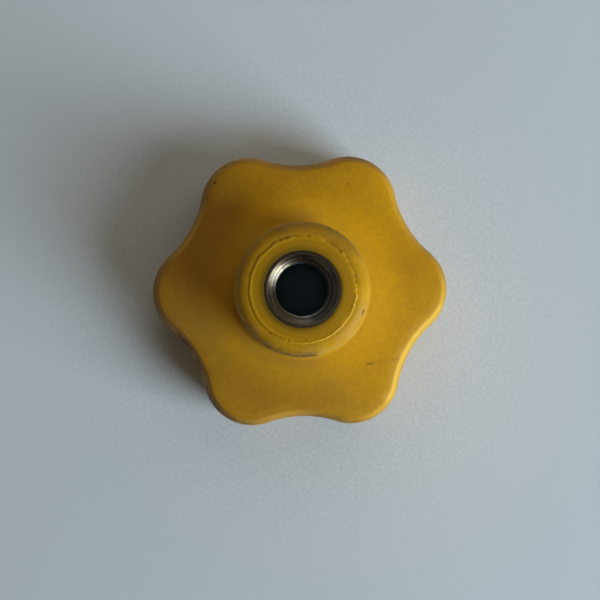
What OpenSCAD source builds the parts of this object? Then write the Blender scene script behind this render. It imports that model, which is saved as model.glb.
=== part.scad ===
// Star-shaped hand knob, lying on its palm face with the hub upwards.
// One moulded body carries a threaded steel bush that is moulded into its hub.
// Millimetres, +Z up, origin in the middle of the palm face, one lobe along +X.

/* [Star grip] */
// Diameter over the lobe tips
knob_d = 50; // [45:0.5:56]
// Number of lobes
lobes = 6; // [5:1:7]
// How far the hollows reach in from the circle of the lobe tips
hollow_depth = 3.7; // [3:0.1:4.5]
// Radius of the hollow between two lobes
hollow_r = 17.3; // [14:0.1:20]
// Thickness of the star at its rim, from the palm face to its hub side
grip_h = 16.5; // [14:0.5:20]
// How steeply the hub side rises from the rim to the hub, in degrees
face_slope = 8; // [4:0.5:10]
// Rounding of the rim on the palm side
palm_edge_r = 4; // [2:0.1:4.5]
// Radius of the rounding that leads from the rim up to the hub side
hub_edge_r = 6.5; // [5:0.1:7]
// Height of that rounding, which the hub side cuts off in a crisp edge
hub_edge_h = 4.1; // [2:0.1:4.5]

/* [Hub] */
// Height of the whole knob, from the palm face to the end of the hub
knob_h = 34; // [30:0.5:40]
// Diameter of the hub just below its rounded shoulder
hub_d = 21; // [19.5:0.1:24]
// Mould taper of the hub: how much its radius grows down to the root
hub_taper = 0.2; // [0.1:0.05:0.5]
// Rounding at the root of the hub
root_r = 1.2; // [0.5:0.1:2]
// Rounding of the hub's shoulder
shoulder_r = 2.25; // [1:0.05:2.5]
// Height of the end face above the shoulder
end_face_step = 0.2; // [0.1:0.05:0.5]

/* [Threaded bush] */
// Length of the bush
bush_l = 25; // [24:0.5:28]
// Diameter of the plain collar that shows in the end face
collar_d = 11.8; // [11.4:0.1:13]
// Length of the plain collar
collar_l = 3; // [2:0.5:5]
// Diameter over the knurl of the shank
shank_d = 14; // [13.4:0.1:15]
// Chamfer at both ends of the shank
shank_chamfer = 0.6; // [0.3:0.1:1]
// Number of knurl flutes
knurl_count = 30; // [20:1:40]
// Depth of the knurl flutes
knurl_depth = 0.4; // [0.3:0.05:0.6]
// Width of the locking groove round the shank
groove_w = 3; // [2:0.5:5]
// Depth of the locking groove
groove_depth = 0.9; // [0.7:0.1:1.2]
// Bore of the thread, the tapping drill of an M10 thread
thread_bore_d = 8.5; // [6.8:0.1:8.6]
// Depth of the thread
thread_depth = 20; // [16:0.5:20.5]
// Diameter of the countersink at the mouth of the thread
countersink_d = 10.9; // [10:0.1:11]

/* [Hidden] */
$fn = 96;

knob_yellow = "#c8961e";
bush_grey = "#6f6c66";

// Full point angle of the drill that made the blind bore
drill_point = 118;
// The lobes are this much larger than tangent, so that they cross the hollows in a clean line
blend_lap = 0.1;
// Smallest flat, as a radius, that the roundings leave on a lobe
lobe_land = 1;
// Flat strip between the crisp edge of the hollows and the foot of the cone
cone_land = 0.2;
// How far the cone dips below the flat of the lobes, so that it leaves it in a clean line
cone_dip = 0.05;
// How far one solid reaches into, or a cut reaches out of, the next
overlap = 1;

function thousandth(x) = round(x * 1000) / 1000;
function polar(r, a) = [r * cos(a), r * sin(a)];

// Plan of the star: the lobe radius that makes a lobe run smoothly into its two hollows
tip_r = knob_d / 2;
half_pitch = 180 / lobes;
hollow_c = tip_r - hollow_depth + hollow_r;
hollow_x = hollow_c * cos(half_pitch);
smooth_lobe_r = (tip_r * tip_r + hollow_c * hollow_c - hollow_r * hollow_r - 2 * tip_r * hollow_x)
                / (2 * (tip_r + hollow_r - hollow_x));
lobe_r = thousandth(smooth_lobe_r + blend_lap);
lobe_c = tip_r - lobe_r;
// Half of the angle that a hollow takes up, seen from its own centre
hollow_sweep = atan2(lobe_c * sin(half_pitch), hollow_c - lobe_c * cos(half_pitch));
// The strips along the hollows end a little short of the lobe centres
strip_w = lobe_r - lobe_land / 4;
// The rim's roundings, limited by the lobe that they run round
palm_round = min(palm_edge_r, lobe_r - lobe_land);
hub_round = min(hub_edge_r, lobe_r - lobe_land);
hub_drop = hub_edge_h * hub_round / hub_edge_r;
// How far the rounding on the hub side sets the crisp edge in from the outline
edge_inset = hub_round - sqrt(hub_round * hub_round - hub_drop * hub_drop);

// Section of the hub and of the shallow cone that the star's hub side rises in.
// The cone starts inside the crisp edge of the hollows and ends at the root of the hub.
hub_r = hub_d / 2;
hub_root_r = hub_r + hub_taper;
root_x = hub_root_r + root_r;
cone_reach = cone_dip / tan(face_slope);
cone_r = max(tip_r - hollow_depth - edge_inset - cone_reach - cone_land, root_x + overlap);
cone_z = grip_h + (cone_r - root_x) * tan(face_slope);
root_z = cone_z + root_r;
end_face_r = hub_r - shoulder_r;
shoulder_z = knob_h - end_face_step - shoulder_r;

// Section of the bush
bush_z = knob_h - bush_l;
collar_r = collar_d / 2;
collar_z = knob_h - collar_l;
shank_r = shank_d / 2;
groove_z = (bush_z + collar_z - groove_w) / 2;
bore_r = thread_bore_d / 2;
countersink_r = countersink_d / 2;
countersink_depth = countersink_r - bore_r;
drill_tip_l = bore_r / tan(drill_point / 2);

// Quarter of a disc, in the quadrant that the signs of sx and sz give, cut off at the height h
module quarter_disc(r, sx, sz, h) {
    intersection() {
        circle(r);
        translate([min(sx, 0) * 2 * r, min(sz, 0) * h]) square([2 * r, h]);
    }
}

// Half section through the rim, from an inner edge to the outline, with both edges rounded.
// The outline faces outwards where side is 1, and inwards, towards the axis, where side is -1.
module rim_section(inner, outline, side) {
    palm_x = outline - side * palm_round;
    hub_x = outline - side * hub_round;
    hub_z = grip_h - hub_drop;
    wall = [
        [inner, 0], [palm_x, 0], [palm_x, palm_round], [outline, palm_round],
        [outline, hub_z], [hub_x, hub_z], [hub_x, grip_h], [inner, grip_h],
    ];
    last = len(wall) - 1;
    polygon(side > 0 ? wall : [for (i = [0 : last]) wall[last - i]]);
    translate([palm_x, palm_round]) quarter_disc(palm_round, side, -1, 2 * palm_round);
    translate([hub_x, hub_z]) quarter_disc(hub_round, side, 1, hub_drop);
}

module lobe(angle) {
    translate(polar(lobe_c, angle))
        rotate_extrude() rim_section(0, lobe_r, 1);
}

module hollow(angle) {
    translate(polar(hollow_c, angle))
        rotate_extrude(angle = 2 * hollow_sweep, start = angle + 180 - hollow_sweep)
            rim_section(hollow_r + strip_w, hollow_r, -1);
}

module star() {
    linear_extrude(grip_h) polygon([for (i = [0 : lobes - 1]) polar(lobe_c, 2 * i * half_pitch)]);
    for (i = [0 : lobes - 1]) {
        lobe(2 * i * half_pitch);
        hollow((2 * i + 1) * half_pitch);
    }
}

// The hub stands on the star's shallow cone, widens to its root, and ends in a low raised face
module hub() {
    foot_r = cone_r + cone_reach;
    rotate_extrude() {
        difference() {
            polygon([
                [0, grip_h - overlap], [foot_r, grip_h - overlap], [foot_r, grip_h - cone_dip],
                [root_x, cone_z], [root_x, root_z], [hub_root_r, root_z],
                [hub_r, shoulder_z], [end_face_r, shoulder_z], [end_face_r, knob_h], [0, knob_h],
            ]);
            translate([root_x, root_z]) circle(root_r);
        }
        translate([end_face_r, shoulder_z]) circle(shoulder_r);
    }
}

// Half section that trims the shank: it chamfers both ends of the knurl and cuts the locking groove half way
module shank_section() {
    chamfer_r = shank_r - shank_chamfer;
    clear = shank_chamfer + overlap;
    difference() {
        polygon([
            [0, bush_z], [chamfer_r, bush_z], [chamfer_r + clear, bush_z + clear],
            [chamfer_r + clear, collar_z - clear], [chamfer_r, collar_z], [0, collar_z],
        ]);
        translate([shank_r - groove_depth, groove_z]) square([shank_r, groove_w]);
    }
}

// Plan of the knurl: straight V-shaped flutes side by side
module knurl_plan() {
    polygon([for (i = [0 : 2 * knurl_count - 1])
        polar(shank_r - (i % 2) * knurl_depth, 180 * i / knurl_count)]);
}

// Outside of the bush, which is also the room that it takes up in the hub
module bush_outside(mouth = 0) {
    translate([0, 0, collar_z - overlap]) cylinder(r = collar_r, h = collar_l + overlap + mouth);
    intersection() {
        rotate_extrude() shank_section();
        translate([0, 0, bush_z]) linear_extrude(collar_z - bush_z) knurl_plan();
    }
}

// Blind tapped bore, from its drill point up to the countersink at its mouth
module thread_bore() {
    bore_z = knob_h - thread_depth;
    mouth_z = knob_h + overlap;
    rotate_extrude() polygon([
        [0, bore_z - drill_tip_l], [bore_r, bore_z], [bore_r, knob_h - countersink_depth],
        [countersink_r + overlap, mouth_z], [0, mouth_z],
    ]);
}

module knob_body() {
    color(knob_yellow) difference() {
        union() {
            star();
            hub();
        }
        bush_outside(mouth = overlap);
    }
}

module threaded_bush() {
    color(bush_grey) difference() {
        bush_outside();
        thread_bore();
    }
}

knob_body();
threaded_bush();
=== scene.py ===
import math

import bmesh
import bpy
from mathutils import Matrix, Vector, noise


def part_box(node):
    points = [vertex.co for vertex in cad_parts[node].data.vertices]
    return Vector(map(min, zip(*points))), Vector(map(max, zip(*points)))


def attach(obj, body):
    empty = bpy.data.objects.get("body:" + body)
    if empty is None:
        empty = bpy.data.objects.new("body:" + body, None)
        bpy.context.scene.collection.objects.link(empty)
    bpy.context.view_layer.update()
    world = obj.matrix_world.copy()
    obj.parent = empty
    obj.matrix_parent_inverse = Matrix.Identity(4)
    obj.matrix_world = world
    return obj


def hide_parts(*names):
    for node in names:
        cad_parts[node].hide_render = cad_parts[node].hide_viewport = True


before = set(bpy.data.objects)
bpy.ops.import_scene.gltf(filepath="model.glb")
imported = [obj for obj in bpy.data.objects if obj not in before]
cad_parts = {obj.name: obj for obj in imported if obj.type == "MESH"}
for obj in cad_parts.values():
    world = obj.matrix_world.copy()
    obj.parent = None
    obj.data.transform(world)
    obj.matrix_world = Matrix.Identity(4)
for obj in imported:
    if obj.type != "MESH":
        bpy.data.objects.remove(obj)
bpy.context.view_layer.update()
print("frame loaded with nodes", sorted(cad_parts))

mm = 0.001        # everything is modelled in millimetres and scaled to metres at the end
mergeGap = 0.002  # vertices closer than this, in millimetres, become one
nearGap = 0.01    # a vertex this close to a level or a radius lies on it


# Shared helpers

def linear(hexColour):
    channels = [int(hexColour[i:i + 2], 16) / 255 for i in (1, 3, 5)]
    curve = [c / 12.92 if c <= 0.04045 else ((c + 0.055) / 1.055) ** 2.4 for c in channels]
    return (*curve, 1.0)


def addNode(tree, kind, links=None, **settings):
    made = tree.nodes.new(kind)
    for name, value in settings.items():
        setattr(made, name, value)
    for socket, value in (links or {}).items():
        if isinstance(value, bpy.types.NodeSocket):
            tree.links.new(value, made.inputs[socket])
        else:
            made.inputs[socket].default_value = value
    return made


def newMaterial(name):
    material = bpy.data.materials.new(name)
    material.use_nodes = True
    material.node_tree.nodes.clear()
    return material, material.node_tree


def perMillimetre(size):
    return 1.0 / (size * mm)  # pattern scale that repeats about once in this many millimetres


def bandOf(limits):
    # both ends of a band in millimetres, for the sockets that take them in metres
    return {1: limits[0] * mm, 2: limits[1] * mm}


def arcOn(bm, vert, centre, degrees, steps):
    # swings the end of a profile in the XZ plane, from X towards Z where degrees is positive
    swung = bmesh.ops.spin(bm, geom=[vert], cent=centre, axis=(0, -1, 0),
                           angle=math.radians(degrees), steps=steps)
    return next(item for item in swung["geom_last"] if isinstance(item, bmesh.types.BMVert))


def lineOn(bm, vert, x, z, steps=1):
    start = vert.co.copy()
    for step in range(1, steps + 1):
        vert = bmesh.ops.extrude_vert_indiv(bm, verts=[vert])["verts"][0]
        vert.co = start.lerp(Vector((x, 0, z)), step / steps)
    return vert


def closedMesh(bm):
    bmesh.ops.remove_doubles(bm, verts=bm.verts[:], dist=mergeGap)
    bmesh.ops.recalc_face_normals(bm, faces=bm.faces[:])


def meshObject(bm, name):
    mesh = bpy.data.meshes.new(name)
    bm.to_mesh(mesh)
    bm.free()
    made = bpy.data.objects.new(name, mesh)
    bpy.context.scene.collection.objects.link(made)
    return made


def addPiece(bm, name, node, material, sharpAngle):
    bmesh.ops.scale(bm, vec=(mm, mm, mm), verts=bm.verts[:])
    piece = meshObject(bm, name)
    piece.data.shade_smooth()
    piece.data.set_sharp_from_angle(angle=math.radians(sharpAngle))
    piece.data.materials.append(material)
    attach(piece, "root")
    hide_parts(node)
    print("made", name, "with", len(piece.data.polygons), "faces")


# Knob body: star and hub in one moulding

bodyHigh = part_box("knob_body")[1]
knobBody = {
    "tipRadius": bodyHigh.x / mm,
    "height": bodyHigh.z / mm,
    "lobeCount": 6,
    "hollowDepth": 3.7,
    "hollowRadius": 17.3,
    "gripHeight": 16.5,      # at the foot of the face's shallow cone
    "faceSlope": 8.0,
    "coneRadius": 19.29,
    "palmRound": 4.0,
    "edgeRound": 6.5,        # the rim rounds in towards the hub side, which cuts it off in an edge
    "edgeHeight": 4.1,
    "edgeWear": 0.35,        # radius that use has worn on that edge
    "edgeCrown": 8.0,        # the face falls into the worn edge with this radius, through this many degrees
    "edgeFall": 11.0,
    "rimBand": 5.0,          # width of the flat strips that follow the outline
    "hubRadius": 10.5,
    "hubTaper": 0.2,
    "rootRound": 1.2,
    "shoulderRound": 2.25,
    "shoulderTurn": 84.0,
    "endFaceStep": 0.2,
    "endFaceFall": 0.2,      # the end face falls this much from the steel to its edge
    "collarRadius": 5.9,
    "collarLength": 3.0,
    "shankRadius": 7.0,
    "bushLength": 25.0,
    "palmDisc": 9.0,
    "lobeSteps": 28,
    "hollowSteps": 20,
    "faceCuts": 8,
    "sharpAngle": 50.0,

    # moulding flash on the edge of the end face: its rise, then out, up and steps along its section
    "lipRise": 0.04,
    "lipSection": ((-0.02, -0.03, 3), (-0.12, 0.0, 1), (-0.22, 0.0, 1), (-0.4, -0.04, 2)),
    # the plastic's edge beside the steel: out, down and steps
    "steelEdge": ((0.12, 0.02, 5), (0.0, 0.1, 1)),
    # how far the flash strays from its circle, the fineness and share of its waves, and its chips
    "flashWave": 0.14,
    "flashWaves": ((4.0, 1.0), (11.0, 0.6), (27.0, 0.5)),
    "flashChips": 29.0,
    "flashReach": (-0.3, 0.3),
    "flashHeight": (33.2, 33.7),
    # places where the step round the end face is worn down to a ramp: from angle, to angle, share
    "wornStep": ((2, 66, 0.9), (66, 100, 0.4), (318, 326, 0.7), (352, 362, 0.6)),
    "rampReach": (-0.4, 0.1),
    "rampMargin": 0.01,

    # knocks on the rim: angle in degrees, height, width and depth
    "nicks": (
        (309, 15.6, 1.1, 0.10), (316, 15.2, 0.8, 0.08), (322, 15.0, 1.3, 0.07), (337, 15.6, 0.9, 0.08),
        (65, 14.2, 1.0, 0.10), (121, 14.6, 0.9, 0.10), (186, 14.0, 1.2, 0.10), (231, 14.4, 1.4, 0.10),
        (268, 15.4, 0.8, 0.06), (12, 14.0, 1.0, 0.08),
    ),
    "nickHeight": (12.0, 17.2),
    "nickRadius": 18.5,

    # the star's marks lie below the first height, the hub's above the second
    "starTop": 20.0,
    "hubFrom": 28.0,
    # film of handling, and sides where it is drawn thinner so that they come out lighter, mostly those facing
    # the window and the lamp wall, which is painted light: from angle, to angle, strength
    "handRadius": (11.5, 19.0),
    "handHeight": (8.0, 13.5),
    "paintedLightSides": (
        (24, 62, 0.4), (302, 352, 0.32), (282, 302, 0.24), (350, 364, 0.12), (-4, 8, 0.12), (80, 118, -0.3),
    ),
    # grime on the rim: from angle, to angle, strength
    "rimGrime": (
        (50, 74, 0.6), (78, 104, 0.5), (112, 134, 0.55), (166, 196, 0.52), (196, 222, 0.75),
        (220, 250, 0.65), (272, 298, 0.55), (4, 14, 0.3),
    ),
    "grimeInset": (0.2, 1.7),
    "grimeHeight": (11.0, 14.5),
    # rim drawn pale: from angle, to angle, strength; the broad band facing the window, 298 to 4, is a painted
    # highlight, the narrow bands elsewhere are rubbed pale by hands
    "rimPaleAndHighlight": (
        (298, 308, 0.4), (306, 354, 1.0), (350, 364, 0.45), (-4, 4, 0.45), (256, 272, 0.15), (138, 164, 0.35),
    ),
    "paleInset": (1.05, 1.6),
    "paleOuter": (0.05, 1.0),
    "paleHeight": (9.5, 13.0),
    # painted shade on the face, a greyish tone over its side away from the window where the hub's shadow
    # falls: from angle, to angle, strength
    "facePaintedShade": ((125, 215, 0.55), (205, 300, 0.28)),
    "facePaintedShadeRadius": (11.0, 14.0),
    # the same painted shade in the corner where the face meets the hub
    "rootPaintedShade": ((75, 290, 0.5), (290, 360, 0.15), (0, 75, 0.2)),
    "rootPaintedShadeRadius": (12.2, 15.0),

    "hubHandHeight": (28.0, 32.0),
    # hub edge drawn pale: from angle, to angle, strength; on the window side, 290 to 350, it is a painted
    # highlight
    "hubPaleEdge": ((87, 205, 0.55), (290, 350, 0.35)),
    "hubPaleEdgeRadius": (10.4, 10.7),
    "hubPaleEdgeHeight": (29.0, 30.5),
    # brown film on the hub's shoulder: from angle, to angle, strength
    "hubFilm": ((30, 125, 0.72), (120, 225, 0.5), (220, 285, 0.5), (0, 40, 0.32), (285, 350, 0.2)),
    "hubFilmRadius": (8.4, 10.45),
    "hubFilmHeight": (28.0, 31.5),
    # grime on the hub: from angle, to angle, from radius, to radius, strength
    "hubGrime": (
        (232, 283, 10.0, 10.7, 0.62), (206, 284, 9.5, 10.7, 0.46), (55, 205, 9.4, 10.7, 0.38),
        (20, 75, 9.6, 10.5, 0.42), (80, 130, 8.9, 10.0, 0.34), (334, 341, 9.75, 10.1, 0.72),
        (325, 331, 10.0, 10.3, 0.5), (318, 322, 10.2, 10.4, 0.45), (2, 6, 9.8, 10.1, 0.55),
        (159, 163, 9.9, 10.2, 0.6), (66, 165, 7.95, 8.4, 0.5), (165, 262, 8.08, 8.37, 0.4),
        (2, 40, 7.85, 8.45, 0.5), (40, 66, 7.85, 8.45, 0.56), (262, 276, 8.3, 8.37, 0.32),
    ),
    "hubGrimeHeight": (28.5, 31.5),
    # bright flash: from angle, to angle, strength; the bands on the window side, 284 to 352, are a painted
    # highlight along the lit step, the small ones elsewhere torn flash
    "tornFlashAndHighlight": (
        (284, 304, 0.9), (309, 318, 0.75), (327, 334, 0.7), (340, 352, 0.75), (152, 160, 0.6),
        (182, 186, 0.5), (262, 272, 0.4),
    ),
    "tornAndHighlightReach": (-0.06, 0.08),
}


def smooth(value, low, high):
    share = min(max((value - low) / (high - low), 0.0), 1.0)
    return share * share * (3 - 2 * share)


def within(value, low, high, soft):
    return smooth(value, low - soft, low + soft) * (1 - smooth(value, high - soft, high + soft))


def strongest(rows, degrees, soft):
    # the most that any of the rows gives at this angle
    return max(strength * within(degrees, low, high, soft) for low, high, strength in rows)


def degreesOf(vert):
    return math.degrees(math.atan2(vert.co.y, vert.co.x)) % 360


def starPlan(size):
    # the lobe radius that runs smoothly into the hollows, as on the solid
    tip, hollowR = size["tipRadius"], size["hollowRadius"]
    halfPitch = math.pi / size["lobeCount"]
    hollowC = tip - size["hollowDepth"] + hollowR
    hollowX = hollowC * math.cos(halfPitch)
    room = tip * tip + hollowC * hollowC - hollowR * hollowR - 2 * tip * hollowX
    lobeR = room / (2 * (tip + hollowR - hollowX))
    lobeC = tip - lobeR
    sweep = math.atan2(lobeC * math.sin(halfPitch), hollowC - lobeC * math.cos(halfPitch))
    return {"halfPitch": halfPitch, "lobeC": lobeC, "hollowC": hollowC, "hollowSweep": sweep}


def insetOf(point, size, plan):
    # how far a point lies inside the outline of the star
    pitch = 2 * plan["halfPitch"]
    folded = abs((math.atan2(point.y, point.x) + plan["halfPitch"]) % pitch - plan["halfPitch"])
    reach = point.xy.length
    place = Vector((reach * math.cos(folded), reach * math.sin(folded)))
    hollow = plan["hollowC"] * Vector((math.cos(plan["halfPitch"]), math.sin(plan["halfPitch"])))
    lobe = Vector((plan["lobeC"], 0))
    beside = (lobe - hollow).cross(place - hollow)
    if beside < 0:
        return (place - hollow).length - size["hollowRadius"]
    return size["tipRadius"] - plan["lobeC"] - (place - lobe).length


def rimProfile(bm, size):
    palm, rounding, wear, crown = size["palmRound"], size["edgeRound"], size["edgeWear"], size["edgeCrown"]
    edge, wallTop = size["tipRadius"], size["gripHeight"] - size["edgeHeight"]
    inner = edge - size["rimBand"]
    # where the rounding stops, so that the worn edge and the crown end level with the face
    lean = math.sin(math.radians(90 - size["edgeFall"]))
    stop = math.asin((size["edgeHeight"] - crown * (1 - lean) - wear * lean) / (rounding - wear))
    end = bm.verts.new((inner, 0, 0))
    end = lineOn(bm, end, edge - palm, 0, 2)
    end = arcOn(bm, end, (edge - palm, 0, palm), 90, 12)
    end = lineOn(bm, end, edge, wallTop, 12)
    rimCentre = Vector((edge - rounding, 0, wallTop))
    end = arcOn(bm, end, rimCentre, math.degrees(stop), 8)
    wearCentre = end.co.lerp(rimCentre, wear / rounding)
    end = arcOn(bm, end, wearCentre, 90 - size["edgeFall"] - math.degrees(stop), 6)
    crownCentre = end.co + (wearCentre - end.co) * (crown / wear)
    end = arcOn(bm, end, crownCentre, size["edgeFall"], 4)
    lineOn(bm, end, inner, size["gripHeight"], 4)


def sweepRim(bm, size, plan):
    # the profile swings round each lobe centre and back round each hollow centre
    lobeTurn = plan["halfPitch"] + plan["hollowSweep"]
    lobeCentre = Vector((plan["lobeC"], 0, 0))
    hollowCentre = Vector((plan["hollowC"], 0, 0))
    bmesh.ops.rotate(bm, verts=bm.verts[:], cent=lobeCentre, matrix=Matrix.Rotation(-lobeTurn, 3, "Z"))
    section = bm.verts[:] + bm.edges[:]
    for i in range(size["lobeCount"]):
        lobeAt = Matrix.Rotation(2 * i * plan["halfPitch"], 3, "Z") @ lobeCentre
        hollowAt = Matrix.Rotation((2 * i + 1) * plan["halfPitch"], 3, "Z") @ hollowCentre
        turns = (
            (lobeAt, 2 * lobeTurn, size["lobeSteps"]),
            (hollowAt, -2 * plan["hollowSweep"], size["hollowSteps"]),
        )
        for centre, angle, steps in turns:
            swept = bmesh.ops.spin(bm, geom=section, cent=centre, axis=(0, 0, 1), angle=angle, steps=steps)
            section = swept["geom_last"]
    bmesh.ops.remove_doubles(bm, verts=bm.verts[:], dist=mergeGap)


def coneRise(size, radius):
    return (size["coneRadius"] - radius) * math.tan(math.radians(size["faceSlope"]))


def slopeFace(bm, size):
    # the hub side falls from the hub to the rim, and the rounding goes with it
    wallTop = size["gripHeight"] - size["edgeHeight"]
    for vert in bm.verts:
        vert.co.z += coneRise(size, vert.co.xy.length) * smooth(vert.co.z, size["palmRound"], wallTop)


def hubProfile(bm, size):
    radius, root, shoulder = size["hubRadius"], size["rootRound"], size["shoulderRound"]
    rootX = radius + size["hubTaper"] + root
    rootZ = size["gripHeight"] + coneRise(size, rootX)
    top, collar, shank = size["height"], size["collarRadius"], size["shankRadius"]
    endFace = radius - shoulder
    lip = top - size["endFaceFall"] + size["lipRise"]
    stepFoot = lip - size["endFaceStep"]
    shoulderZ = stepFoot - shoulder
    end = bm.verts.new((rootX, 0, rootZ))
    end = arcOn(bm, end, (rootX, 0, rootZ + root), -90, 10)
    end = lineOn(bm, end, radius, shoulderZ, 16)
    end = arcOn(bm, end, (endFace, 0, shoulderZ), size["shoulderTurn"], 16)
    end = lineOn(bm, end, endFace + size["rampReach"][1], stepFoot)
    for out, up, steps in size["lipSection"]:
        end = lineOn(bm, end, endFace + out, lip + up, steps)
    for out, down, steps in size["steelEdge"]:
        end = lineOn(bm, end, collar + out, top - down, steps)
    end = lineOn(bm, end, collar, top - size["collarLength"], 2)
    end = lineOn(bm, end, shank, top - size["collarLength"])
    end = lineOn(bm, end, shank, top - size["bushLength"], 2)
    lineOn(bm, end, 0, top - size["bushLength"])


def waveFlash(bm, size):
    # the parting flash round the end face is uneven, and its step is worn down in places
    edge = size["hubRadius"] - size["shoulderRound"]
    lip = size["height"] - size["endFaceFall"]
    rampFrom, rampTo = (edge + reach for reach in size["rampReach"])
    flashFrom, flashTo = (edge + reach for reach in size["flashReach"])
    margin = size["rampMargin"]
    for vert in bm.verts:
        radius = vert.co.xy.length
        if rampFrom + margin < radius < rampTo - margin and vert.co.z > size["flashHeight"][0]:
            ramp = lip - size["endFaceStep"] * smooth(radius, rampFrom, rampTo)
            vert.co.z += strongest(size["wornStep"], degreesOf(vert), 4) * (ramp - vert.co.z)
        near = within(radius, flashFrom, flashTo, 0.2) * smooth(vert.co.z, *size["flashHeight"])
        if near:
            around = Vector((vert.co.x, vert.co.y, 0)).normalized()
            stray = sum(share * noise.noise(around * fine) for fine, share in size["flashWaves"])
            vert.co.xy *= 1 + near * size["flashWave"] * stray / radius
            chip = max(0.0, noise.noise(around * size["flashChips"]))
            vert.co.z -= near * chip * size["flashWave"]


def offNick(vert, facing, height):
    # how far a vertex is from the middle of a nick; its angle counts for far more than its height
    return 900 * (1 - vert.co.xy.normalized().dot(facing)) + abs(vert.co.z - height)


def knockRim(bm, size):
    bm.normal_update()
    low, high = size["nickHeight"]
    rim = [v for v in bm.verts if low < v.co.z < high and v.co.xy.length > size["nickRadius"]]
    for degrees, height, width, depth in size["nicks"]:
        facing = Vector((math.cos(math.radians(degrees)), math.sin(math.radians(degrees))))
        place = min(rim, key=lambda v: offNick(v, facing, height)).co.copy()
        for vert in rim:
            reach = (vert.co - place).length / width
            if reach < 1:
                vert.co -= vert.normal * depth * (1 - reach * reach) ** 2


def marksAndPaintedLight(bm, size, plan):
    # how grimy, torn, filmed, pale and handled each place is, with painted shade and highlights among them,
    # for the plastic's material
    grime = bm.verts.layers.float.new("grime")
    tornAndHighlight = bm.verts.layers.float.new("tornAndHighlight")
    filmAndShade = bm.verts.layers.float.new("filmAndShade")
    paleTone = bm.verts.layers.float.new("paleTone")
    hand = bm.verts.layers.float.new("hand")
    flashRadius = size["hubRadius"] - size["shoulderRound"]
    tornAndHighlightFrom, tornAndHighlightTo = (flashRadius + reach for reach in size["tornAndHighlightReach"])
    for vert in bm.verts:
        degrees = degreesOf(vert)
        height, out = vert.co.z, vert.co.xy.length
        if height < size["starTop"]:
            inset = insetOf(vert.co, size, plan)
            # thinner film on the sides facing the lamps: painted light
            paintedLightSides = sum(share * within(degrees, low, high, 10) for low, high, share in size["paintedLightSides"])
            vert[hand] = 0.1 + 0.75 * smooth(out, *size["handRadius"]) * (1 - min(paintedLightSides, 0.6))
            vert[hand] *= 0.3 + 0.7 * smooth(height, *size["handHeight"])
            onRim = (1 - smooth(inset, *size["grimeInset"])) * smooth(height, *size["grimeHeight"])
            vert[grime] = onRim * max(0.25, strongest(size["rimGrime"], degrees, 5))
            # pale rim: a painted highlight on the side facing the window, wear elsewhere
            paleShare = (1 - smooth(inset, *size["paleInset"])) * smooth(height, *size["paleHeight"])
            paleShare *= 0.2 + 0.8 * smooth(inset, *size["paleOuter"])
            vert[paleTone] = paleShare * strongest(size["rimPaleAndHighlight"], degrees, 4)
            # painted shade on the face's shadow side and in the corner round the hub's root
            onFace = strongest(size["facePaintedShade"], degrees, 12) * smooth(out, *size["facePaintedShadeRadius"])
            atRoot = strongest(size["rootPaintedShade"], degrees, 12) * (1 - smooth(out, *size["rootPaintedShadeRadius"]))
            vert[filmAndShade] = max(onFace, atRoot)
        elif height > size["hubFrom"]:
            vert[hand] = 0.35 * smooth(height, *size["hubHandHeight"])
            # pale hub edge, a painted highlight on the window side
            edge = within(out, *size["hubPaleEdgeRadius"], 0.08) * smooth(height, *size["hubPaleEdgeHeight"])
            vert[paleTone] = edge * strongest(size["hubPaleEdge"], degrees, 8)
            shoulder = within(out, *size["hubFilmRadius"], 0.15) * smooth(height, *size["hubFilmHeight"])
            vert[filmAndShade] = shoulder * strongest(size["hubFilm"], degrees, 12)
            spots = max(
                strength * within(degrees, low, high, 3) * within(out, inner, outer, 0.1)
                for low, high, inner, outer, strength in size["hubGrime"]
            )
            vert[grime] = spots * smooth(height, *size["hubGrimeHeight"])
            # torn flash, and a painted highlight along the lit step on the window side
            vert[tornAndHighlight] = within(out, tornAndHighlightFrom, tornAndHighlightTo, 0.05) * strongest(size["tornFlashAndHighlight"], degrees, 4)


def makeKnobBody(size, material):
    plan = starPlan(size)
    around = size["lobeCount"] * (size["lobeSteps"] + size["hollowSteps"])
    bm = bmesh.new()
    rimProfile(bm, size)
    sweepRim(bm, size, plan)
    slopeFace(bm, size)
    hub = bmesh.new()
    hubProfile(hub, size)
    bmesh.ops.spin(hub, geom=hub.verts[:] + hub.edges[:], cent=(0, 0, 0), axis=(0, 0, 1),
                   angle=math.tau, steps=around, use_merge=True)
    bmesh.ops.remove_doubles(hub, verts=hub.verts[:], dist=mergeGap)
    hubMesh = bpy.data.meshes.new("hubTurned")
    hub.to_mesh(hubMesh)
    hub.free()
    bm.from_mesh(hubMesh)
    bpy.data.meshes.remove(hubMesh)
    bmesh.ops.create_circle(bm, segments=around, radius=size["palmDisc"], cap_ends=True)
    # the open edges of the star, the hub and the palm disc are joined above and below
    openEdges = [e for e in bm.edges if e.is_boundary]
    level = size["gripHeight"] / 2
    for above in (True, False):
        loops = [e for e in openEdges if (e.verts[0].co.z > level) == above]
        bridge = bmesh.ops.bridge_loops(bm, edges=loops)
        bmesh.ops.subdivide_edges(bm, edges=bridge["edges"], cuts=size["faceCuts"], use_grid_fill=True)
    closedMesh(bm)
    marksAndPaintedLight(bm, size, plan)
    waveFlash(bm, size)
    knockRim(bm, size)
    addPiece(bm, "knobBody", "knob_body", material, size["sharpAngle"])


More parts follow.
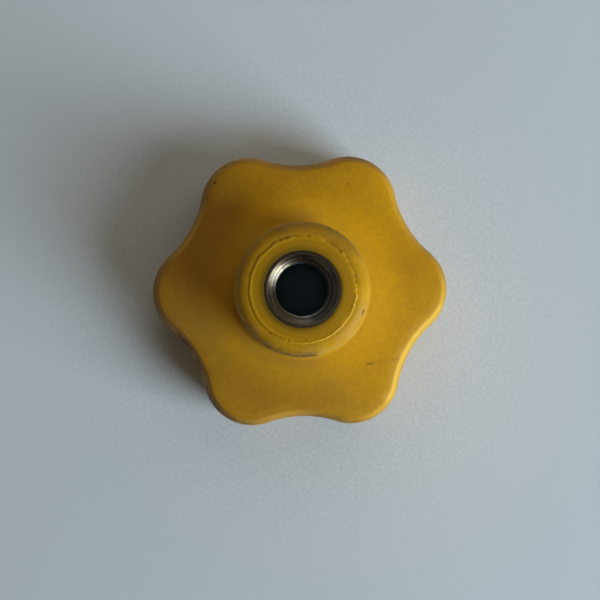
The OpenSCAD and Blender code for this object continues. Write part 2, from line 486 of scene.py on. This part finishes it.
knobPlastic = {
    "clean": "#c5950d",
    "handFilm": "#9f7413",       # thin film of handling over the face
    "endFace": "#916d0b",
    "hubFilm": "#785b19",        # brown film that hands leave on the hub's shoulder
    # colour of the painted shade on the star's face
    "paintedShadeGrey": "#8a6635",
    "paleAndHighlight": "#d0a539",
    "besideSteel": "#46390f",
    "dust": "#a98a55",
    "grime": "#3d2b18",
    "freckle": "#5d4413",
    # pale plastic of torn flash, also used as a painted highlight along the lit step
    "chip": "#ecd08a",
    "mottle": 5.0,
    "smear": 1.6,
    "freckleGap": 1.1,
    "dirtGrain": 0.8,
    "skin": 0.35,                # moulded skin, drawn coarser than it is so that it shows
    "roughness": (0.42, 0.6),    # clean, and dull with grime
    # bands in which one look goes over into the next
    "hubHeight": (20.0, 28.0),
    "endFaceHeight": (33.72, 33.86),
    "besideRadius": (5.8, 7.1),
    "besideAcross": (-5.0, 5.0),
    "dustHeight": (31.0, 32.2),
    "dustRadius": (9.0, 9.9),
    "dustSide": (-0.77, -0.64, 0.0),
    "dustAcross": (-8.0, -2.0),
    # dark specks: x, y, z and radius
    "specks": (
        (-14.0, 18.2, 15.8, 0.24), (8.1, 17.65, 16.4, 0.17), (0.45, -7.87, 34.0, 0.2),
        (-8.2, 3.4, 33.9, 0.14), (18.9, -3.4, 16.4, 0.15), (-17.2, 3.1, 16.6, 0.12),
        (3.6, -19.0, 16.4, 0.12), (-6.9, -15.2, 16.7, 0.12),
    ),
    # scratches: from, to, half width and strength
    "scratches": (
        ((10.65, -12.49, 16.9), (11.5, -12.35, 16.84), 0.18, 0.65),
        ((11.5, -12.35, 16.84), (16.59, -11.58, 16.37), 0.22, 0.24),
    ),
}


def makeKnobPlastic(finish):
    # Moulded yellow plastic worn satin by hands: deep even pigment under a brownish film, grime on the edges,
    # with painted shade on the face's shadow side and painted highlights on the window side
    material, tree = newMaterial("mouldedYellowPlastic")
    spot = addNode(tree, "ShaderNodeTexCoord").outputs["Object"]
    axes = addNode(tree, "ShaderNodeSeparateXYZ", {0: spot})
    height = axes.outputs["Z"]
    flat = addNode(tree, "ShaderNodeVectorMath", {0: spot, 1: (1, 1, 0)}, operation="MULTIPLY")
    radius = addNode(tree, "ShaderNodeVectorMath", {0: flat.outputs[0]}, operation="LENGTH").outputs["Value"]

    mottle = addNode(tree, "ShaderNodeTexNoise", {
        "Vector": spot, "Scale": perMillimetre(finish["mottle"]),
        "Detail": 4.0, "Roughness": 0.55}).outputs[0]
    smear = addNode(tree, "ShaderNodeTexNoise", {
        "Vector": spot, "Scale": perMillimetre(finish["smear"]),
        "Detail": 5.0, "Roughness": 0.6}).outputs[0]
    grain = addNode(tree, "ShaderNodeTexNoise", {
        "Vector": spot, "Scale": perMillimetre(finish["dirtGrain"]),
        "Detail": 4.0, "Roughness": 0.65}).outputs[0]
    skin = addNode(tree, "ShaderNodeTexNoise", {
        "Vector": spot, "Scale": perMillimetre(finish["skin"]), "Detail": 2.0}).outputs[0]

    # handling film: thin beside the hub, thicker out on the lobes, and thinned on the sides facing the lamps
    # as painted light
    handled = addNode(tree, "ShaderNodeAttribute", attribute_name="hand").outputs["Fac"]
    patchy = addNode(tree, "ShaderNodeMapRange", {"Value": mottle, 1: 0.3, 2: 0.7, 3: 0.8, 4: 1.1}).outputs[0]
    cloudy = addNode(tree, "ShaderNodeMapRange", {"Value": grain, 1: 0.3, 2: 0.7, 3: -0.2, 4: 0.2}).outputs[0]
    filmAndShade = addNode(tree, "ShaderNodeMath", {0: handled, 1: patchy}, operation="MULTIPLY").outputs[0]
    filmAndShade = addNode(tree, "ShaderNodeMath", {0: filmAndShade, 1: cloudy}, operation="ADD", use_clamp=True).outputs[0]
    colour = addNode(tree, "ShaderNodeMix", {
        0: filmAndShade, 6: linear(finish["clean"]), 7: linear(finish["handFilm"])}, data_type="RGBA").outputs[2]

    # a later film, brown on the hub and grey on the star, where the grey is painted shade; and the pale
    # places, which on the window side are a painted highlight
    laterFilmAndShade = addNode(tree, "ShaderNodeAttribute", attribute_name="filmAndShade").outputs["Fac"]
    laterFilmAndShade = addNode(tree, "ShaderNodeMath", {0: laterFilmAndShade, 1: patchy}, operation="MULTIPLY").outputs[0]
    laterFilmAndShade = addNode(tree, "ShaderNodeMath", {
        0: laterFilmAndShade, 1: 0.85}, operation="MULTIPLY", use_clamp=True).outputs[0]
    upHub = addNode(tree, "ShaderNodeMapRange", {"Value": height, **bandOf(finish["hubHeight"])}).outputs[0]
    filmAndShadeColour = addNode(tree, "ShaderNodeMix", {
        0: upHub, 6: linear(finish["paintedShadeGrey"]), 7: linear(finish["hubFilm"])}, data_type="RGBA").outputs[2]
    colour = addNode(tree, "ShaderNodeMix", {
        0: laterFilmAndShade, 6: colour, 7: filmAndShadeColour}, data_type="RGBA").outputs[2]
    # painted highlight: the pale colour on the rim and on the hub's edge facing the window stands in for
    # light catching them
    paleTone = addNode(tree, "ShaderNodeAttribute", attribute_name="paleTone").outputs["Fac"]
    colour = addNode(tree, "ShaderNodeMix", {
        0: paleTone, 6: colour, 7: linear(finish["paleAndHighlight"])}, data_type="RGBA").outputs[2]

    # the end face has gone dull and greenish, darker still beside the steel
    endFace = addNode(tree, "ShaderNodeMapRange", {
        "Value": height, **bandOf(finish["endFaceHeight"]), 3: 0.0, 4: 0.9},
        interpolation_type="SMOOTHSTEP").outputs[0]
    colour = addNode(tree, "ShaderNodeMix", {
        0: endFace, 6: colour, 7: linear(finish["endFace"])}, data_type="RGBA").outputs[2]
    beside = addNode(tree, "ShaderNodeMapRange", {
        "Value": radius, **bandOf(finish["besideRadius"]), 3: 1.0, 4: 0.0},
        interpolation_type="SMOOTHSTEP").outputs[0]
    oneSide = addNode(tree, "ShaderNodeMapRange", {
        "Value": axes.outputs["X"], **bandOf(finish["besideAcross"]), 3: 0.95, 4: 0.34}).outputs[0]
    beside = addNode(tree, "ShaderNodeMath", {0: beside, 1: oneSide}, operation="MULTIPLY").outputs[0]
    colour = addNode(tree, "ShaderNodeMix", {
        0: beside, 6: colour, 7: linear(finish["besideSteel"])}, data_type="RGBA").outputs[2]

    # dust rubbed into the outside of the hub's shoulder
    shoulder = addNode(tree, "ShaderNodeMapRange", {
        "Value": height, **bandOf(finish["dustHeight"])}, interpolation_type="SMOOTHSTEP").outputs[0]
    outer = addNode(tree, "ShaderNodeMapRange", {
        "Value": radius, **bandOf(finish["dustRadius"]), 3: 0.25, 4: 1.0},
        interpolation_type="SMOOTHSTEP").outputs[0]
    shoulder = addNode(tree, "ShaderNodeMath", {0: shoulder, 1: outer}, operation="MULTIPLY").outputs[0]
    across = addNode(tree, "ShaderNodeVectorMath", {0: spot, 1: finish["dustSide"]}, operation="DOT_PRODUCT")
    dustSide = addNode(tree, "ShaderNodeMapRange", {
        "Value": across.outputs["Value"], **bandOf(finish["dustAcross"]), 3: 0.15, 4: 1.0}).outputs[0]
    shoulder = addNode(tree, "ShaderNodeMath", {0: shoulder, 1: dustSide}, operation="MULTIPLY").outputs[0]
    shoulder = addNode(tree, "ShaderNodeMath", {
        0: shoulder, 1: endFace}, operation="SUBTRACT", use_clamp=True).outputs[0]
    streaks = addNode(tree, "ShaderNodeMapRange", {
        "Value": smear, 1: 0.44, 2: 0.62, 3: 0.0, 4: 0.38}).outputs[0]
    dusty = addNode(tree, "ShaderNodeMath", {0: shoulder, 1: streaks}, operation="MULTIPLY").outputs[0]
    colour = addNode(tree, "ShaderNodeMix", {
        0: dusty, 6: colour, 7: linear(finish["dust"])}, data_type="RGBA").outputs[2]

    # freckles scattered all over
    cells = addNode(tree, "ShaderNodeTexVoronoi", {
        "Vector": spot, "Scale": perMillimetre(finish["freckleGap"])})
    freckle = addNode(tree, "ShaderNodeMapRange", {
        "Value": cells.outputs["Distance"], 1: 0.06, 2: 0.2, 3: 1.0, 4: 0.0}).outputs[0]
    chosen = addNode(tree, "ShaderNodeSeparateColor", {0: cells.outputs["Color"]}).outputs[0]
    chosen = addNode(tree, "ShaderNodeMapRange", {"Value": chosen, 1: 0.6, 2: 1.0, 3: 0.0, 4: 0.5}).outputs[0]
    freckle = addNode(tree, "ShaderNodeMath", {0: freckle, 1: chosen}, operation="MULTIPLY").outputs[0]
    colour = addNode(tree, "ShaderNodeMix", {
        0: freckle, 6: colour, 7: linear(finish["freckle"])}, data_type="RGBA").outputs[2]

    # grime breaks up with its grain
    grime = addNode(tree, "ShaderNodeAttribute", attribute_name="grime").outputs["Fac"]
    lifted = addNode(tree, "ShaderNodeMath", {0: grain, 1: smear}, operation="ADD").outputs[0]
    broken = addNode(tree, "ShaderNodeMath", {0: grime, 1: lifted}, operation="MULTIPLY").outputs[0]
    soiled = addNode(tree, "ShaderNodeMapRange", {
        "Value": broken, 1: 0.22, 2: 1.0, 3: 0.0, 4: 0.95}, interpolation_type="SMOOTHSTEP").outputs[0]
    colour = addNode(tree, "ShaderNodeMix", {
        0: soiled, 6: colour, 7: linear(finish["grime"])}, data_type="RGBA").outputs[2]

    # torn flash shows paler plastic, and on the window side the same pale colour is a painted highlight along
    # the lit step
    tornEdgeAndHighlight = addNode(tree, "ShaderNodeAttribute", attribute_name="tornAndHighlight").outputs["Fac"]
    tornBreakup = addNode(tree, "ShaderNodeMapRange", {
        "Value": grain, 1: 0.47, 2: 0.6, 3: 0.0, 4: 0.8}).outputs[0]
    tornEdgeAndHighlight = addNode(tree, "ShaderNodeMath", {0: tornEdgeAndHighlight, 1: tornBreakup}, operation="MULTIPLY").outputs[0]
    colour = addNode(tree, "ShaderNodeMix", {
        0: tornEdgeAndHighlight, 6: colour, 7: linear(finish["chip"])}, data_type="RGBA").outputs[2]

    # specks, and a scratch in two stretches
    marks = 0.0
    for x, y, z, size in finish["specks"]:
        away = addNode(tree, "ShaderNodeVectorMath", {
            0: spot, 1: (x * mm, y * mm, z * mm)}, operation="DISTANCE").outputs["Value"]
        mark = addNode(tree, "ShaderNodeMapRange", {
            "Value": away, **bandOf((0.4 * size, 1.5 * size)), 3: 0.9, 4: 0.0}).outputs[0]
        marks = addNode(tree, "ShaderNodeMath", {0: marks, 1: mark}, operation="MAXIMUM").outputs[0]
    ragged = addNode(tree, "ShaderNodeMapRange", {
        "Value": grain, 1: 0.35, 2: 0.55, 3: 0.25, 4: 0.85}).outputs[0]
    for start, end, halfWidth, strength in finish["scratches"]:
        start, end = Vector(start) * mm, Vector(end) * mm
        along = end - start
        fromStart = addNode(tree, "ShaderNodeVectorMath", {
            0: spot, 1: start}, operation="SUBTRACT").outputs[0]
        share = addNode(tree, "ShaderNodeVectorMath", {
            0: fromStart, 1: along / along.length_squared}, operation="DOT_PRODUCT").outputs["Value"]
        share = addNode(tree, "ShaderNodeMath", {
            0: share, 1: 0.0}, operation="ADD", use_clamp=True).outputs[0]
        nearest = addNode(tree, "ShaderNodeVectorMath", {
            0: along, "Scale": share}, operation="SCALE").outputs[0]
        away = addNode(tree, "ShaderNodeVectorMath", {
            0: fromStart, 1: nearest}, operation="DISTANCE").outputs["Value"]
        line = addNode(tree, "ShaderNodeMapRange", {
            "Value": away, **bandOf((0.3 * halfWidth, 1.6 * halfWidth)), 3: strength, 4: 0.0}).outputs[0]
        line = addNode(tree, "ShaderNodeMath", {0: line, 1: ragged}, operation="MULTIPLY").outputs[0]
        marks = addNode(tree, "ShaderNodeMath", {0: marks, 1: line}, operation="MAXIMUM").outputs[0]
    colour = addNode(tree, "ShaderNodeMix", {
        0: marks, 6: colour, 7: linear(finish["grime"])}, data_type="RGBA").outputs[2]

    # satin where it is clean, dull where it is soiled, with a fine moulded skin
    satin, dulled = finish["roughness"]
    dull = addNode(tree, "ShaderNodeMath", {0: soiled, 1: endFace}, operation="MAXIMUM").outputs[0]
    rough = addNode(tree, "ShaderNodeMapRange", {
        "Value": dull, 1: 0.0, 2: 1.0, 3: satin, 4: dulled}).outputs[0]
    unevenness = addNode(tree, "ShaderNodeMapRange", {
        "Value": smear, 1: 0.3, 2: 0.7, 3: -0.06, 4: 0.06}).outputs[0]
    rough = addNode(tree, "ShaderNodeMath", {0: rough, 1: unevenness}, operation="ADD").outputs[0]
    relief = addNode(tree, "ShaderNodeMath", {0: smear, 1: skin}, operation="ADD").outputs[0]
    relief = addNode(tree, "ShaderNodeBump", {"Height": relief, "Strength": 0.35, "Distance": 0.03 * mm})
    shader = addNode(tree, "ShaderNodeBsdfPrincipled", {
        "Base Color": colour,
        "Roughness": rough,
        "IOR": 1.5,
        "Specular IOR Level": 0.085,
        "Normal": relief.outputs[0],
    })
    addNode(tree, "ShaderNodeOutputMaterial", {"Surface": shader.outputs["BSDF"]})
    return material


makeKnobBody(knobBody, makeKnobPlastic(knobPlastic))


# Threaded bush: turned steel with a knurled shank and a tapped blind bore

threadedBush = {
    "top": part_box("threaded_bush")[1].z / mm,
    "length": 25.0,
    "collarRadius": 5.9,
    "collarLength": 3.0,
    "shankRadius": 7.0,
    "shankChamfer": 0.6,
    "edgeBreak": 0.08,       # tiny chamfer on the edge of the collar
    "knurlCount": 30,
    "knurlDepth": 0.4,
    "grooveWidth": 3.0,
    "grooveDepth": 0.9,
    "countersinkRadius": 5.45,
    "boreDepth": 20.0,
    "drillPoint": 118.0,
    "threadRadius": 5.0,     # over the thread
    "crestRadius": 4.19,     # inside the thread
    "pitch": 1.5,
    "flankAngle": 30.0,
    "tapLap": 0.14,          # how far the cutter reaches in past the crests
    "stepsPerTurn": 72,
    "turnedSteps": 180,
    "sharpAngle": 25.0,
}


def bushProfile(bm, size):
    top, shank, collar = size["top"], size["shankRadius"], size["collarRadius"]
    foot, seat = top - size["length"], top - size["collarLength"]
    chamfer, edgeBreak = size["shankChamfer"], size["edgeBreak"]
    groove = (foot + seat) / 2
    half = size["grooveWidth"] / 2
    neck = shank - size["grooveDepth"]
    crest, sink = size["crestRadius"], size["countersinkRadius"]
    boreEnd = top - size["boreDepth"]
    tip = boreEnd - crest / math.tan(math.radians(size["drillPoint"] / 2))
    end = bm.verts.new((0, 0, foot))
    outside = [
        (shank - chamfer, foot), (shank, foot + chamfer), (shank, groove - half), (neck, groove - half),
        (neck, groove + half), (shank, groove + half), (shank, seat - chamfer), (shank - chamfer, seat),
        (collar, seat), (collar, top - edgeBreak), (collar - edgeBreak, top), (sink, top),
    ]
    inside = [(crest, top - sink + crest), (crest, boreEnd), (0, tip)]
    for x, z in outside + inside:
        end = lineOn(bm, end, x, z)


def makeTap(size):
    # a helical cutter with the form of the thread
    pitch, outer = size["pitch"], size["threadRadius"]
    root = size["crestRadius"] - size["tapLap"]
    crestHalf = pitch / 16
    rootHalf = crestHalf + (outer - root) * math.tan(math.radians(size["flankAngle"]))
    low = size["top"] - size["boreDepth"] + pitch
    high = size["top"] + pitch
    turns = math.ceil((high - low) / pitch) + 2
    steps = turns * size["stepsPerTurn"]
    bm = bmesh.new()
    end = bm.verts.new((root, 0, low - pitch))
    for x, z in ((root, pitch / 2 - rootHalf), (outer, pitch / 2 - crestHalf), (outer, pitch / 2 + crestHalf),
                 (root, pitch / 2 + rootHalf), (root, pitch)):
        end = lineOn(bm, end, x, low - pitch + z)
    bmesh.ops.spin(bm, geom=bm.verts[:] + bm.edges[:], cent=(0, 0, 0), axis=(0, 0, 1),
                   angle=turns * math.tau, steps=steps, dvec=(0, 0, turns * pitch / steps))
    bmesh.ops.remove_doubles(bm, verts=bm.verts[:], dist=mergeGap)
    # both ends are cut off level and capped
    for level, side in ((low, -1), (high, 1)):
        bmesh.ops.bisect_plane(bm, geom=bm.verts[:] + bm.edges[:] + bm.faces[:],
                               plane_co=(0, 0, level), plane_no=(0, 0, side), clear_outer=True)
        openEdges = [e for e in bm.edges if e.is_boundary]
        cap = [e for e in openEdges if sum(abs(v.co.z - level) for v in e.verts) < nearGap]
        bmesh.ops.contextual_create(bm, geom=cap)
    closedMesh(bm)
    return bm


def makeThreadedBush(size, material):
    bm = bmesh.new()
    bushProfile(bm, size)
    bmesh.ops.spin(bm, geom=bm.verts[:] + bm.edges[:], cent=(0, 0, 0), axis=(0, 0, 1), angle=math.tau,
                   steps=size["turnedSteps"], use_merge=True)
    closedMesh(bm)
    flute = math.tau / size["knurlCount"]
    for vert in bm.verts:
        if abs(vert.co.xy.length - size["shankRadius"]) < nearGap:
            part = abs((math.atan2(vert.co.y, vert.co.x) / flute) % 1 - 0.5) * 2
            vert.co.xy *= 1 - (1 - part) * size["knurlDepth"] / size["shankRadius"]
    blank = meshObject(bm, "bushBlank")
    tap = meshObject(makeTap(size), "tap")
    cut = blank.modifiers.new("tapped", "BOOLEAN")
    cut.operation = "DIFFERENCE"
    cut.solver = "EXACT"
    cut.object = tap
    tapped = blank.evaluated_get(bpy.context.evaluated_depsgraph_get())
    bm = bmesh.new()
    bm.from_mesh(tapped.data)
    for leftover in (blank, tap):
        bpy.data.objects.remove(leftover)
    bmesh.ops.triangulate(bm, faces=[f for f in bm.faces if len(f.verts) > 4])
    addPiece(bm, "threadedBush", "threaded_bush", material, size["sharpAngle"])


bushSteel = {
    "paleTone": "#968766",
    "oxide": "#5a5958",
    "coldReflectionTint": "#868e9c",  # bluish tint on one side of the countersink: a painted reflection of cooler surroundings
    "bore": "#6e8fa2",
    "ringGrimeAndShade": "#231d12",
    "turning": 0.3,          # spacing of the turned marks, drawn coarser than they are so that they show
    "patch": 1.4,
    # sides of the countersink that differ, each with the band in which it begins: two are drawn darker as
    # painted shade over their reflections, one gets a painted bluish reflection
    "darkSide": (0.21, 0.98, 0.0),
    "darkAcross": (2.0, 4.6),
    "dimSide": (-0.84, -0.54, 0.0),
    "dimAcross": (3.2, 4.8),
    "coldSide": (0.94, -0.34, 0.0),
    "coldAcross": (-0.5, 3.5),
    "coldRadius": (4.9, 5.4),
    "boreHeight": (31.0, 26.0),
    "ledgeShadeLine": 4.55,         # radius of a dark line painted round the countersink, where the tap left a small ledge: painted shade
    "ledgeShadeLineWidth": (0.03, 0.12),
    "grimeRadius": (5.25, 5.6),
    "roughness": (0.38, 0.25, 0.75),  # under oxide, rubbed, and dull with grime
}


def makeBushSteel(finish):
    # Turned free-cutting steel gone dark with age: a dull oxide skin, rubbed brighter in patches,
    # painted shade on two sides of the countersink, a painted bluish reflection on one, and oily in the bore
    material, tree = newMaterial("darkTurnedSteel")
    spot = addNode(tree, "ShaderNodeTexCoord").outputs["Object"]
    height = addNode(tree, "ShaderNodeSeparateXYZ", {0: spot}).outputs["Z"]
    flat = addNode(tree, "ShaderNodeVectorMath", {0: spot, 1: (1, 1, 0)}, operation="MULTIPLY")
    radius = addNode(tree, "ShaderNodeVectorMath", {0: flat.outputs[0]}, operation="LENGTH").outputs["Value"]

    # rings follow the tool: one coordinate out along the radius and down the bore, a faint drift round it
    section = addNode(tree, "ShaderNodeMath", {0: radius, 1: height}, operation="ADD").outputs[0]
    drift = addNode(tree, "ShaderNodeVectorMath", {
        0: spot, 1: (0.12, 0.12, 0.0)}, operation="MULTIPLY").outputs[0]
    ringPlace = addNode(tree, "ShaderNodeCombineXYZ", {2: section}).outputs[0]
    ringPlace = addNode(tree, "ShaderNodeVectorMath", {0: ringPlace, 1: drift}, operation="ADD").outputs[0]
    rings = addNode(tree, "ShaderNodeTexNoise", {
        "Vector": ringPlace, "Scale": perMillimetre(finish["turning"]),
        "Detail": 3.0, "Roughness": 0.6}).outputs[0]
    patches = addNode(tree, "ShaderNodeTexNoise", {
        "Vector": spot, "Scale": perMillimetre(finish["patch"]),
        "Detail": 4.0, "Roughness": 0.6}).outputs[0]
    mixed = addNode(tree, "ShaderNodeMath", {0: rings, 1: patches}, operation="ADD").outputs[0]
    paleShare = addNode(tree, "ShaderNodeMapRange", {"Value": mixed, 1: 0.75, 2: 1.25}).outputs[0]

    # painted shade: two sides of the countersink are drawn darker to dim their reflections
    across = addNode(tree, "ShaderNodeVectorMath", {0: spot, 1: finish["darkSide"]}, operation="DOT_PRODUCT")
    bright = addNode(tree, "ShaderNodeMapRange", {
        "Value": across.outputs["Value"], **bandOf(finish["darkAcross"]), 3: 1.0, 4: 0.35}).outputs[0]
    across = addNode(tree, "ShaderNodeVectorMath", {0: spot, 1: finish["dimSide"]}, operation="DOT_PRODUCT")
    dim = addNode(tree, "ShaderNodeMapRange", {
        "Value": across.outputs["Value"], **bandOf(finish["dimAcross"]), 3: 1.0, 4: 0.5}).outputs[0]
    bright = addNode(tree, "ShaderNodeMath", {0: bright, 1: dim}, operation="MULTIPLY").outputs[0]
    colour = addNode(tree, "ShaderNodeMix", {
        0: paleShare, 6: linear(finish["oxide"]), 7: linear(finish["paleTone"])}, data_type="RGBA").outputs[2]

    # the painted bluish reflection ends at the flat ring
    across = addNode(tree, "ShaderNodeVectorMath", {0: spot, 1: finish["coldSide"]}, operation="DOT_PRODUCT")
    cold = addNode(tree, "ShaderNodeMapRange", {
        "Value": across.outputs["Value"], **bandOf(finish["coldAcross"]), 3: 0.0, 4: 0.85}).outputs[0]
    inRing = addNode(tree, "ShaderNodeMapRange", {
        "Value": radius, **bandOf(finish["coldRadius"]), 3: 1.0, 4: 0.0}).outputs[0]
    cold = addNode(tree, "ShaderNodeMath", {0: cold, 1: inRing}, operation="MULTIPLY").outputs[0]
    colour = addNode(tree, "ShaderNodeMix", {
        0: cold, 6: colour, 7: linear(finish["coldReflectionTint"])}, data_type="RGBA").outputs[2]
    colour = addNode(tree, "ShaderNodeMix", {
        0: bright, 6: linear(finish["ringGrimeAndShade"]), 7: colour}, data_type="RGBA").outputs[2]
    deep = addNode(tree, "ShaderNodeMapRange", {
        "Value": height, **bandOf(finish["boreHeight"])}, interpolation_type="SMOOTHSTEP").outputs[0]
    colour = addNode(tree, "ShaderNodeMix", {
        0: deep, 6: colour, 7: linear(finish["bore"])}, data_type="RGBA").outputs[2]

    # painted shade: a dark line round the countersink, where the tap has left a small ledge
    fromLine = addNode(tree, "ShaderNodeMath", {
        0: radius, 1: finish["ledgeShadeLine"] * mm}, operation="SUBTRACT").outputs[0]
    fromLine = addNode(tree, "ShaderNodeMath", {0: fromLine}, operation="ABSOLUTE").outputs[0]
    ledgeShadeLine = addNode(tree, "ShaderNodeMapRange", {
        "Value": fromLine, **bandOf(finish["ledgeShadeLineWidth"]), 3: 0.8, 4: 0.0}).outputs[0]
    colour = addNode(tree, "ShaderNodeMix", {
        0: ledgeShadeLine, 6: colour, 7: linear(finish["ringGrimeAndShade"])}, data_type="RGBA").outputs[2]

    # old grime sits on the flat ring round the countersink
    onRing = addNode(tree, "ShaderNodeMapRange", {
        "Value": radius, **bandOf(finish["grimeRadius"]), 3: 0.0, 4: 0.9},
        interpolation_type="SMOOTHSTEP").outputs[0]
    colour = addNode(tree, "ShaderNodeMix", {
        0: onRing, 6: colour, 7: linear(finish["ringGrimeAndShade"])}, data_type="RGBA").outputs[2]

    skinRough, rubbedRough, dullRough = finish["roughness"]
    dull = addNode(tree, "ShaderNodeMath", {0: deep, 1: onRing}, operation="MAXIMUM").outputs[0]
    metal = addNode(tree, "ShaderNodeMapRange", {"Value": dull, 1: 0.0, 2: 1.0, 3: 0.92, 4: 0.0}).outputs[0]
    rough = addNode(tree, "ShaderNodeMapRange", {
        "Value": paleShare, 1: 0.0, 2: 1.0, 3: skinRough, 4: rubbedRough}).outputs[0]
    rough = addNode(tree, "ShaderNodeMix", {0: dull, 2: rough, 3: dullRough}).outputs[0]
    relief = addNode(tree, "ShaderNodeBump", {"Height": rings, "Strength": 0.5, "Distance": 0.02 * mm})
    shader = addNode(tree, "ShaderNodeBsdfPrincipled", {
        "Base Color": colour,
        "Metallic": metal,
        "Roughness": rough,
        "Specular IOR Level": 0.1,
        "Normal": relief.outputs[0],
    })
    addNode(tree, "ShaderNodeOutputMaterial", {"Surface": shader.outputs["BSDF"]})
    return material


makeThreadedBush(threadedBush, makeBushSteel(bushSteel))


# Stage: pale paper floor, a window-like lamp, two walls and a ceiling that pass light on, and a dim room

stage = {
    "floorSize": 900.0,
    "floorColour": "#c0cad0",
    "floorShade": "#b0babf",
    "floorFibre": 0.62,
    "grainFades": (34.0, 58.0),       # the fibre fades between these distances from the knob
    "bouncePoolMiddle": (10.0, -12.0, 0.0),  # middle of a pool painted warmer and lighter on the paper: painted bounce light from the knob's lit side
    "bouncePoolReach": (20.0, 52.0),
    "bouncePoolColour": "#d0d1d2",
    "roomColour": "#ffdcae",
    "roomStrength": 0.077,
    # each lamp: azimuth and elevation in degrees, distance, width and height, watts and colour
    "lamps": {
        "window": (-30.0, 26.0, 700.0, 370.0, 735.0, 8.3, "#e9f4ff"),
        "lampWall": (68.0, 38.0, 480.0, 700.0, 520.0, 0.93, "#fff7ea"),
        "farWall": (235.0, 10.0, 800.0, 500.0, 300.0, 0.22, "#fff3de"),
        "ceiling": (0.0, 90.0, 800.0, 150.0, 150.0, 0.13, "#fff3df"),
    },
}


def makeFloor(setup):
    bm = bmesh.new()
    bmesh.ops.create_grid(bm, x_segments=1, y_segments=1, size=setup["floorSize"] / 2)
    bmesh.ops.scale(bm, vec=(mm, mm, mm), verts=bm.verts[:])
    floor = meshObject(bm, "floor")
    # Matt drawing paper: pale and cool, with a faint fibre, and a pool of painted bounce light beside the
    # knob
    material, tree = newMaterial("palePaper")
    spot = addNode(tree, "ShaderNodeTexCoord").outputs["Object"]
    fibre = addNode(tree, "ShaderNodeTexNoise", {
        "Vector": spot, "Scale": perMillimetre(setup["floorFibre"]),
        "Detail": 6.0, "Roughness": 0.72}).outputs[0]
    away = addNode(tree, "ShaderNodeVectorMath", {0: spot}, operation="LENGTH").outputs["Value"]
    plain = addNode(tree, "ShaderNodeMapRange", {
        "Value": away, **bandOf(setup["grainFades"]), 3: 0.0, 4: 0.82},
        interpolation_type="SMOOTHSTEP").outputs[0]
    fibre = addNode(tree, "ShaderNodeMix", {0: plain, 2: fibre, 3: 0.5}).outputs[0]
    toning = addNode(tree, "ShaderNodeMapRange", {"Value": fibre, 1: 0.3, 2: 0.7}).outputs[0]
    # painted bounce light: round this middle the paper is drawn warmer and lighter
    middle = Vector(setup["bouncePoolMiddle"]) * mm
    away = addNode(tree, "ShaderNodeVectorMath", {0: spot, 1: middle}, operation="DISTANCE").outputs["Value"]
    bouncePool = addNode(tree, "ShaderNodeMapRange", {
        "Value": away, **bandOf(setup["bouncePoolReach"]), 3: 0.6, 4: 0.0},
        interpolation_type="SMOOTHSTEP").outputs[0]
    light = addNode(tree, "ShaderNodeMix", {
        0: bouncePool, 6: linear(setup["floorColour"]), 7: linear(setup["bouncePoolColour"])},
        data_type="RGBA").outputs[2]
    colour = addNode(tree, "ShaderNodeMix", {
        0: toning, 6: linear(setup["floorShade"]), 7: light}, data_type="RGBA").outputs[2]
    relief = addNode(tree, "ShaderNodeBump", {"Height": fibre, "Strength": 0.4, "Distance": 0.06 * mm})
    shader = addNode(tree, "ShaderNodeBsdfPrincipled", {
        "Base Color": colour,
        "Roughness": 0.9,
        "Specular IOR Level": 0.2,
        "Normal": relief.outputs[0],
    })
    addNode(tree, "ShaderNodeOutputMaterial", {"Surface": shader.outputs["BSDF"]})
    floor.data.materials.append(material)


def makeLight(setup):
    for name, (azimuth, elevation, distance, width, height, power, colour) in setup["lamps"].items():
        turn = Matrix.Rotation(math.radians(azimuth), 3, "Z")
        turn = turn @ Matrix.Rotation(math.radians(-elevation), 3, "Y")
        towards = turn @ Vector((1, 0, 0))
        lampData = bpy.data.lights.new(name, "AREA")
        lampData.shape = "RECTANGLE"
        lampData.size, lampData.size_y = width * mm, height * mm
        lampData.energy = power
        lampData.color = linear(colour)[:3]
        lamp = bpy.data.objects.new(name, lampData)
        lamp.location = towards * distance * mm
        lamp.rotation_euler = towards.to_track_quat("Z", "Y").to_euler()
        bpy.context.scene.collection.objects.link(lamp)
    world = bpy.data.worlds.new("room")
    world.use_nodes = True
    room = world.node_tree.nodes["Background"]
    room.inputs["Color"].default_value = linear(setup["roomColour"])
    room.inputs["Strength"].default_value = setup["roomStrength"]
    bpy.context.scene.world = world


makeFloor(stage)
makeLight(stage)
print("stage lit")


# Camera: nearly straight above the hub

camera = {
    "lens": 73.63,
    "sensor": 36.0,
    "clipStart": 10.0,
    "place": (-4.11, -2.11, 220.9),
    "aim": (-0.103, -1.514, 14.9),
    "roll": -1.0,
}


def makeCamera(setup):
    data = bpy.data.cameras.new("camera")
    data.lens = setup["lens"]
    data.sensor_width = setup["sensor"]
    data.clip_start = setup["clipStart"] * mm
    made = bpy.data.objects.new("camera", data)
    place, aim = Vector(setup["place"]), Vector(setup["aim"])
    sight = aim - place
    made.location = place * mm
    made.rotation_euler = (
        math.atan2(sight.y, -sight.z),
        -math.atan2(sight.x, -sight.z),
        math.radians(setup["roll"]),
    )
    bpy.context.scene.collection.objects.link(made)
    bpy.context.scene.camera = made


makeCamera(camera)

scene = bpy.context.scene
scene.view_settings.view_transform = "Standard"

bpy.context.view_layer.update()
